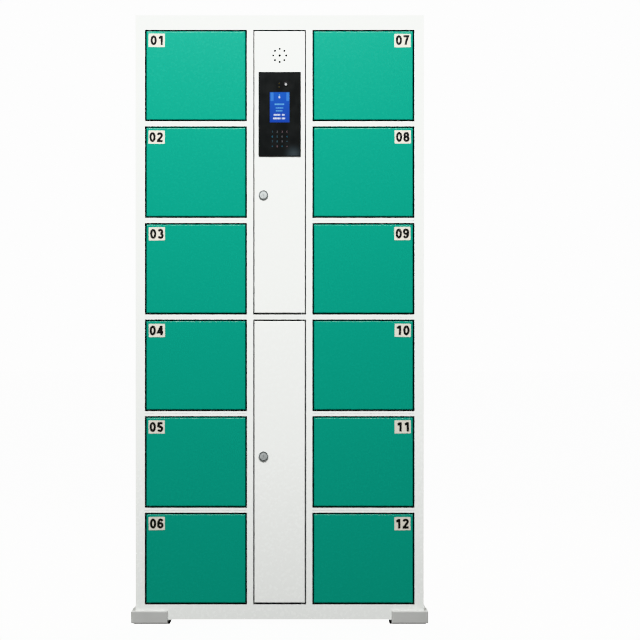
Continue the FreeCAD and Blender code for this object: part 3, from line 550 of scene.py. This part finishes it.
class LOCKER_OT_doors(bpy.types.Operator):
    """Powder coats the parcel doors and zinc plates their strikes"""

    bl_idname = "locker.doors"
    bl_label = "Door finish"

    def execute(self, context):
        paint = powder_coat("green polyester powder coat", context.scene.locker_paint.doors)
        zinc = zinc_plate("zinc-plated strike")
        for door in DOORS:
            finish(door, paint, (zinc, lambda x, y, z: y > FACE + DOOR_BACK))
        return {"FINISHED"}


class LOCKER_OT_feet(bpy.types.Operator):
    """Moulded feet on rubber pads"""

    bl_idname = "locker.feet"
    bl_label = "Feet finish"

    def execute(self, context):
        plastic = moulded_plastic("moulded grey ABS", context.scene.locker_paint.feet)
        rubber = moulded_plastic("black rubber pad", linear("#232323"), 0.8 * MM, 0.7)
        for end in ("front", "rear"):
            for side in SIDES:
                finish(f"foot_{end}_{side}", plastic, (rubber, lambda x, y, z: z < PAD_TOP + 0.1 * MM))
        return {"FINISHED"}


class LOCKER_OT_metalwork(bpy.types.Operator):
    """Latches, hinge pins, lock cases and cam locks"""

    bl_idname = "locker.metalwork"
    bl_label = "Metalwork finish"

    def execute(self, context):
        zinc = zinc_plate("zinc-plated steel")
        rim = plated_lock("polished nickel plate", linear("#969A9A"), 0.25, 0.35)
        satin = plated_lock("satin nickel plate", linear("#C4C8C7"), 0.6, 0.7)
        # Behind this a lock's plug is its cam.
        cam_front = FACE + 20 * MM
        black = moulded_plastic("black nylon lock case", linear("#242526"), 1 * MM, 0.45)
        for number in range(1, 13):
            finish(f"latch_{number:02d}", zinc)
        finish("hinge_pins", zinc)
        for side in SIDES:
            finish(f"lock_cases_{side}", black)
        for level in ("upper", "lower"):
            low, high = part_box(f"lock_barrel_{level}")
            axis, rise = (low[0] + high[0]) / 2, (low[2] + high[2]) / 2
            finish(f"lock_barrel_{level}", rim, (
                satin, lambda x, y, z: (y < FACE) & (np.hypot(x - axis, z - rise) < LOCK_DISH)))
            finish(f"lock_plug_{level}", satin, (zinc, lambda x, y, z: y > cam_front))
        return {"FINISHED"}


class LOCKER_OT_electronics(bpy.types.Operator):
    """Touch glass, display, camera, keypad, loudspeaker, controller and power supply"""

    bl_idname = "locker.electronics"
    bl_label = "Electronics finish"

    def execute(self, context):
        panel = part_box("touch_panel")
        # The painted reflection lies near the glass's lower right corner.
        glint_spot, reach = (panel[1][0] - 22 * MM, panel[0][1], panel[0][2] + 8 * MM), 34 * MM
        glass = black_glass("black touch glass", glint_spot, reach)
        tin = zinc_plate("tinned module case")
        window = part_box("display")
        screen = lit_screen("backlit display", window[0][2], window[1][2])
        mask = circuit_board("green solder mask", linear("#1E5A3A"))
        black = moulded_plastic("black moulded ABS", linear("#1B1C1D"), 1 * MM, 0.4)
        steel = powder_coat("grey case enamel", linear("#8D9092"))
        lens = black_glass("coated camera lens")
        finish("touch_panel", glass)
        # The display and the camera are glass only where they stand out past this.
        front = FACE - 2.5 * MM
        finish("display", tin, (screen, lambda x, y, z: y < front))
        finish("camera", black, (lens, lambda x, y, z: y < front))
        finish("keypad_board", mask)
        finish("speaker", moulded_plastic("black paper cone", linear("#040404"), 2 * MM, 0.9))
        # In front of this lie the board and its relays; behind it, the ends of the standoffs.
        board_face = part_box("controller_board")[1][1] - 4 * MM
        finish("controller_board", mask, (black, lambda x, y, z: y < board_face))
        # The power supply hangs well above its cable gland, which alone lies under this.
        gland_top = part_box("base_panel")[0][2] + 130 * MM
        finish("power_supply", steel, (black, lambda x, y, z: z < gland_top))
        return {"FINISHED"}


class LOCKER_OT_labels(bpy.types.Operator):
    """Numbers the parcel doors with printed vinyl labels"""

    bl_idname = "locker.labels"
    bl_label = "Door labels"

    def execute(self, context):
        sizes = context.scene.locker_sizes
        vinyl = printed_vinyl("warm white vinyl", linear("#DAD6CB"))
        ink = moulded_plastic("black printing ink", linear("#020202"), 0.8 * MM, 0.75)
        ink_thick = 0.05 * MM
        chance = np.random.default_rng(12)
        for door in DOORS:
            low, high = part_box(door)
            outward = -1 if low[0] < 0 else 1
            edge = low[0] if outward < 0 else high[0]
            at = np.array([
                edge - outward * (LABEL_INSET + sizes.label_width / 2), low[1],
                high[2] - LABEL_DROP - sizes.label_height / 2])
            at[[0, 2]] += chance.uniform(-STUCK_OFF, STUCK_OFF, 2) * MM
            lean = math.radians(chance.uniform(-STUCK_LEAN, STUCK_LEAN))
            number = door[-2:]
            plate, faces = sheet_tile(sizes.label_width, sizes.label_height, LABEL_THICK, LABEL_CORNER, at)
            add_piece(f"label_{number}", [(turned_by(plate, lean, at), faces)], door, [vinyl])
            ink_at = at - (0, LABEL_THICK, 0)
            strokes = [
                (turned_by(points, lean, at), faces) for points, faces in figures(
                    number, sizes.numeral, NUMERAL_WEIGHT, ink_thick, ink_at, NUMERAL_SPREAD)]
            add_piece(f"numeral_{number}", strokes, door, [ink])
        return {"FINISHED"}


class LOCKER_OT_gap_shade(bpy.types.Operator):
    """Lines every door opening with a black strip that paints the shade in its gap, and edges the touch glass
    in black rubber
    """

    bl_idname = "locker.linings"
    bl_label = "Gap shade and glass edge"

    def execute(self, context):
        # The same black serves as rubber round the touch glass and as painted shade in the door gaps, which
        # makes the slits read black.
        rubber = moulded_plastic("black glass edge and gap shade", linear("#070707"), 1.5 * MM, 0.8)
        back = FACE + 17 * MM
        # The service doors' strips are thinner and sit deeper, clear of the hinge edge and the touch glass.
        parcel, service = (DOOR_GAP, 2 * MM, 1.4 * MM), (SERVICE_GAP, 1 * MM, 4 * MM)
        loops = []
        for node in (*DOORS, "service_door_upper", "service_door_lower"):
            low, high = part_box(node)
            beside, thick, depth = parcel if node in DOORS else service
            loops.append(lining(
                (low[0] - beside, low[2] - DOOR_GAP), (high[0] + beside, high[2] + DOOR_GAP), thick,
                FACE + depth, back))
        add_piece("gap_painted_shade", loops, "cabinet", [rubber])
        low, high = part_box("touch_panel")
        width, proud = 2.6 * MM, 0.1 * MM
        edge = lining((low[0], low[2]), (high[0], high[2]), width, low[1] - proud, low[1])
        add_piece("glass_edge", [edge], "service_upper", [rubber])
        return {"FINISHED"}


class LOCKER_OT_screen(bpy.types.Operator):
    """Draws the display's picture: two side bands, a plain figure and five lines of dashes"""

    bl_idname = "locker.screen"
    bl_label = "Screen picture"

    def execute(self, context):
        low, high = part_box("display")
        face = low[1]
        foot = np.array([low[0] + SCREEN_RIM, low[2] + SCREEN_RIM])
        size = np.array([high[0] - SCREEN_RIM, high[2] - SCREEN_RIM]) - foot
        thick = 0.08 * MM

        def tile(left, top, right, bottom, corner=0.5 * MM):
            """A tile between shares of the window's width and height, counted from its top left."""
            middle = foot + size * ((left + right) / 2, 1 - (top + bottom) / 2)
            span = size * (right - left, bottom - top)
            return sheet_tile(*span, thick, corner, (middle[0], face, middle[1]))

        band = lit_print("pale blue picture", linear("#4A8AE1"))
        pale = lit_print("ice blue picture", linear("#72BBF0"))
        white = lit_print("white picture", linear("#E4EEFA"), 1.1)
        add_piece("screen_bands", [tile(*share) for share in SCREEN_BANDS], "service_upper", [band])
        across, down = SCREEN_FIGURE
        middle = foot + size * (across, 1 - down)
        head = shell([(circle_outline(1.9 * MM), 0), (circle_outline(1.9 * MM), -thick)],
                     (middle[0], face, middle[1] + 4.2 * MM))
        bodice = sheet_tile(4.6 * MM, 6.2 * MM, thick, 1.8 * MM, (middle[0], face, middle[1] - 2.4 * MM))
        add_piece("screen_figure", [head, bodice], "service_upper", [pale, white], kinds=[0, 1])
        chance = np.random.default_rng(5)
        dashes, kinds = [], []
        for runs, top, bottom, kind in SCREEN_LINES:
            for left, right in runs:
                while left < right - SHORTEST_DASH:
                    length = min(chance.uniform(*DASH_LENGTHS), right - left)
                    dashes.append(tile(left, top, left + length, bottom, 0.3 * MM))
                    kinds.append(kind)
                    left += length + DASH_GAP
        add_piece("screen_lines", dashes, "service_upper", [pale, white], kinds=kinds)
        return {"FINISHED"}


class LOCKER_OT_keypad(bpy.types.Operator):
    """Prints the sixteen faint keypad signs on the touch glass"""

    bl_idname = "locker.keypad"
    bl_label = "Keypad signs"

    def execute(self, context):
        low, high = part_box("touch_panel")
        first = (low[0] + high[0]) / 2 - 1.5 * KEY_STEP_ACROSS
        weight, thick = 0.2, 0.04 * MM
        inks = [lit_print(f"{name} backlit print", linear(code), 0.55) for name, code in (
            ("slate", "#5E7F8C"), ("teal", "#4E93B0"), ("grey", "#8A8C90"), ("rose", "#A08A90"))]
        parts, kinds = [], []
        for index, (sign, ink) in enumerate(zip(KEY_SIGNS, KEY_INKS)):
            row, column = divmod(index, 4)
            at = (first + column * KEY_STEP_ACROSS, low[1], high[2] - KEY_DROP - row * KEY_STEP_UP)
            strokes = figures(sign, context.scene.locker_sizes.glyph, weight, thick, at)
            parts += strokes
            kinds += [ink] * len(strokes)
        add_piece("keypad_signs", parts, "service_upper", inks, kinds=kinds)
        return {"FINISHED"}


class LOCKER_OT_lamps(bpy.types.Operator):
    """Camera lens with a painted highlight, its ring, and two indicator lamps"""

    bl_idname = "locker.lamps"
    bl_label = "Lens and lamps"

    def execute(self, context):
        low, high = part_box("touch_panel")
        camera_low, camera_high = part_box("camera")
        face = low[1]
        across, up = (camera_low[0] + camera_high[0]) / 2, (camera_low[2] + camera_high[2]) / 2
        # The lens glows: a painted highlight, since the camera's lens gives no light.
        lens = lit_print("lens with painted highlight", linear("#F2F4F5"), 0.75)
        amber = lit_print("amber lamp lens", linear("#6E6430"), 0.35)
        black = moulded_plastic("black lens ring", linear("#0C0C0D"), 0.8 * MM, 0.35)
        ring = [(circle_outline(radius * MM), y * MM) for radius, y in BEZEL]
        add_piece("camera_ring", [shell(ring, (across, face, up))], "service_upper", [black], smooth=True)
        add_piece("camera_lens_glint", [dome(3.5 * MM, 0.9 * MM, (across, face - 0.3 * MM, up))],
                  "service_upper", [lens], smooth=True)
        lamps = [dome(2.0 * MM, 0.4 * MM, (LAMP_ACROSS, face, high[2] - drop)) for drop in LAMP_DROPS]
        add_piece("indicator_lamps", lamps, "service_upper", [amber], smooth=True)
        return {"FINISHED"}


class LOCKER_OT_rivets(bpy.types.Operator):
    """Pop rivets round the back panel"""

    bl_idname = "locker.rivets"
    bl_label = "Back rivets"

    def execute(self, context):
        low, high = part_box("back_panel")
        zinc = zinc_plate("zinc-plated rivet")
        ups = np.linspace(low[2] + RIVET_EDGE_UP, high[2] - RIVET_EDGE_UP, RIVETS_UP)
        acrosses = np.linspace(low[0] + RIVET_EDGE_ACROSS, high[0] - RIVET_EDGE_ACROSS, RIVETS_ACROSS)
        spots = [(x, z) for z in ups for x in (acrosses[0], acrosses[-1])]
        spots += [(x, z) for z in (ups[0], ups[-1]) for x in acrosses[1:-1]]
        radius, height = 3.2 * MM, 1.0 * MM
        heads = []
        for x, z in spots:
            points, faces = dome(radius, height, (-x, -high[1], z), rings=4, steps=10)
            # A head is made facing the front, then turned half round to face the back.
            heads.append((points * (-1, -1, 1), faces))
        add_piece("back_rivets", heads, "cabinet", [zinc], smooth=True)
        return {"FINISHED"}


class LOCKER_OT_studio(bpy.types.Operator):
    """Pale floor, soft light from high in front and dimmer from the sides and back, and the camera"""

    bl_idname = "locker.studio"
    bl_label = "Studio"

    def execute(self, context):
        scene = context.scene
        studio = scene.locker_studio
        scene.view_settings.view_transform = "Khronos PBR Neutral"
        middle = (CAD_BOX[0] + CAD_BOX[1]) / 2

        material, tree, place = new_material("pale studio floor")
        surface(
            tree, Roughness=0.9,
            Base_Color=between(tree, noise(tree, place, 900 * MM), linear("#F2F2F1"), linear("#F5F5F4")),
            Emission_Color=linear("#FFFFFF"), Emission_Strength=FLOOR_GLOW)
        mesh = bpy.data.meshes.new("studio_floor")
        corners = np.array([(-1, -1, 0), (1, -1, 0), (1, 1, 0), (-1, 1, 0)]) * FLOOR_REACH
        mesh.from_pydata(corners, [], [(0, 1, 2, 3)])
        mesh.materials.append(material)
        floor = bpy.data.objects.new("studio_floor", mesh)
        scene.collection.objects.link(floor)
        # The floor glows to the camera only, so that it lights and mirrors in nothing.
        floor.visible_diffuse = False
        floor.visible_glossy = False

        world = bpy.data.worlds.new("studio")
        world.use_nodes = True
        scene.world = world
        tree = world.node_tree
        tree.nodes.clear()
        # The sky is bright to the camera, and as dim as the ambient setting to everything else.
        seen = add(tree, "LightPath").outputs["Is Camera Ray"]
        strength = add(tree, "MapRange", {0: seen, 3: studio.ambient, 4: SKY_GLOW}).outputs[0]
        sky = add(tree, "Background", {"Color": linear("#FFFFFF"), "Strength": strength})
        add(tree, "OutputWorld", {"Surface": sky.outputs[0]})

        for name, (at, towards, size, setting, share) in LIGHTS.items():
            glow = bpy.data.lights.new(name, "AREA")
            glow.shape, glow.size, glow.size_y = "RECTANGLE", *size
            glow.energy = share * getattr(studio, setting)
            light = bpy.data.objects.new(name, glow)
            scene.collection.objects.link(light)
            light.location = at
            aim = np.subtract(towards, at)
            light.rotation_euler = (
                math.atan2(math.hypot(aim[0], aim[1]), -aim[2]), 0, math.atan2(aim[1], aim[0]) - math.pi / 2)

        camera = bpy.data.cameras.new("camera")
        camera.lens = studio.lens
        eye = bpy.data.objects.new("camera", camera)
        scene.collection.objects.link(eye)
        eye.location = (middle[0] + CAMERA_ACROSS, middle[1] - studio.distance, middle[2] - CAMERA_UNDER)
        eye.rotation_euler = (math.pi / 2, 0, 0)
        scene.camera = eye
        return {"FINISHED"}


class LOCKER_PT_sidebar(bpy.types.Panel):
    """Lists the locker's settings and steps."""

    bl_label = "Parcel locker"
    bl_idname = "LOCKER_PT_sidebar"
    bl_space_type = "VIEW_3D"
    bl_region_type = "UI"
    bl_category = "Locker"

    def draw(self, context):
        """Every setting of every group, then a button for each step."""
        for group in (getattr(context.scene, name) for name in GROUPS):
            for key in group.bl_rna.properties.keys():
                if key not in ("rna_type", "name"):
                    self.layout.prop(group, key)
        for step in STEPS:
            self.layout.operator(step.bl_idname)


STEPS = (
    LOCKER_OT_cabinet, LOCKER_OT_doors, LOCKER_OT_feet, LOCKER_OT_metalwork, LOCKER_OT_electronics,
    LOCKER_OT_labels, LOCKER_OT_gap_shade, LOCKER_OT_screen, LOCKER_OT_keypad, LOCKER_OT_lamps,
    LOCKER_OT_rivets, LOCKER_OT_studio)
GROUPS = {"locker_paint": LockerPaint, "locker_sizes": LockerSizes, "locker_studio": LockerStudio}


def register():
    """Adds the classes, and the groups of settings to every scene."""
    for cls in (*GROUPS.values(), *STEPS, LOCKER_PT_sidebar):
        bpy.utils.register_class(cls)
    for name, group in GROUPS.items():
        setattr(bpy.types.Scene, name, bpy.props.PointerProperty(type=group))


def unregister():
    """Takes them away again, in the opposite order."""
    for name in GROUPS:
        delattr(bpy.types.Scene, name)
    for cls in (LOCKER_PT_sidebar, *reversed(STEPS), *GROUPS.values()):
        bpy.utils.unregister_class(cls)


def main():
    """Runs every step in order."""
    register()
    for step in STEPS:
        family, name = step.bl_idname.split(".")
        getattr(getattr(bpy.ops, family), name)()


if __name__ == "__main__":
    main()
